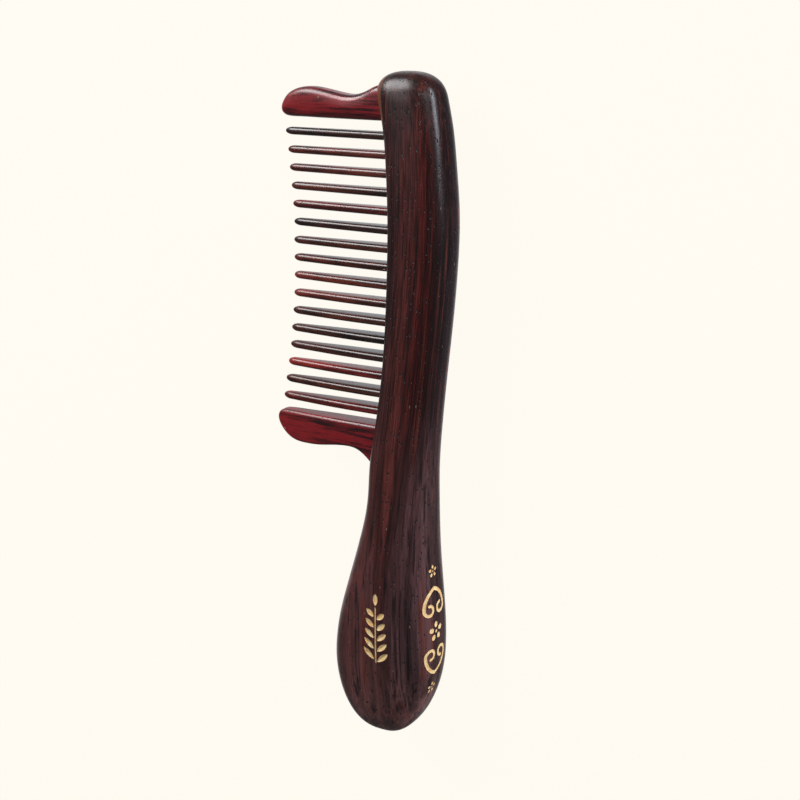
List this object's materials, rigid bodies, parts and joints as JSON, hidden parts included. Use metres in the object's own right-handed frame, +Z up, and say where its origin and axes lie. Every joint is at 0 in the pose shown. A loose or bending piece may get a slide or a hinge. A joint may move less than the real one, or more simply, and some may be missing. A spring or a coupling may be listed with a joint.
{
  "type": "wide tooth comb",
  "caption": "Wide tooth comb with a curved dark wood handle, inserted round-tipped wooden teeth between red wood guards, and gold-filled ornament on the grip",
  "frame": {"origin": "under the middle of the comb's bounding box, on the plane it lies on", "axes": "X runs along the comb from the head towards the butt of the handle, -Y runs towards the tooth tips, and Z up from the broad face"},
  "size_m": [0.179, 0.0552, 0.02],
  "materials": {
    "handle_wood": "oiled dark hardwood, satin sheen, fine open pores",
    "guard_wood": "polished red hardwood with dark streaks",
    "tooth_red": "polished red hardwood",
    "tooth_brown": "polished red-brown hardwood",
    "tooth_dark": "polished near-black hardwood",
    "spacer_wood": "sanded dark hardwood",
    "gold_fill": "gold fill in engraving, slightly grainy"
  },
  "bodies": {
    "root": {"handle": "handle_wood", "head_guard": "guard_wood", "heel_guard": "guard_wood", "tooth_01": "tooth_dark", "tooth_02": "tooth_brown", "tooth_03": "tooth_brown", "tooth_04": "tooth_dark", "tooth_05": "tooth_red", "tooth_06": "tooth_dark", "tooth_07": "tooth_dark", "tooth_08": "tooth_brown", "tooth_09": "tooth_brown", "tooth_10": "tooth_brown", "tooth_11": "tooth_dark", "tooth_12": "tooth_dark", "tooth_13": "tooth_dark", "tooth_14": "tooth_red", "tooth_15": "tooth_dark", "tooth_16": "tooth_red", "spacer_01": "spacer_wood", "spacer_02": "spacer_wood", "spacer_03": "spacer_wood", "spacer_04": "spacer_wood", "spacer_05": "spacer_wood", "spacer_06": "spacer_wood", "spacer_07": "spacer_wood", "spacer_08": "spacer_wood", "spacer_09": "spacer_wood", "spacer_10": "spacer_wood", "spacer_11": "spacer_wood", "spacer_12": "spacer_wood", "spacer_13": "spacer_wood", "spacer_14": "spacer_wood", "spacer_15": "spacer_wood", "spacer_16": "spacer_wood", "spacer_17": "spacer_wood", "flower_inlay_1": "gold_fill", "flower_inlay_2": "gold_fill", "flower_inlay_3": "gold_fill", "scroll_inlay_1": "gold_fill", "scroll_inlay_2": "gold_fill", "sprig_inlay": "gold_fill"}
  },
  "joints": []
}
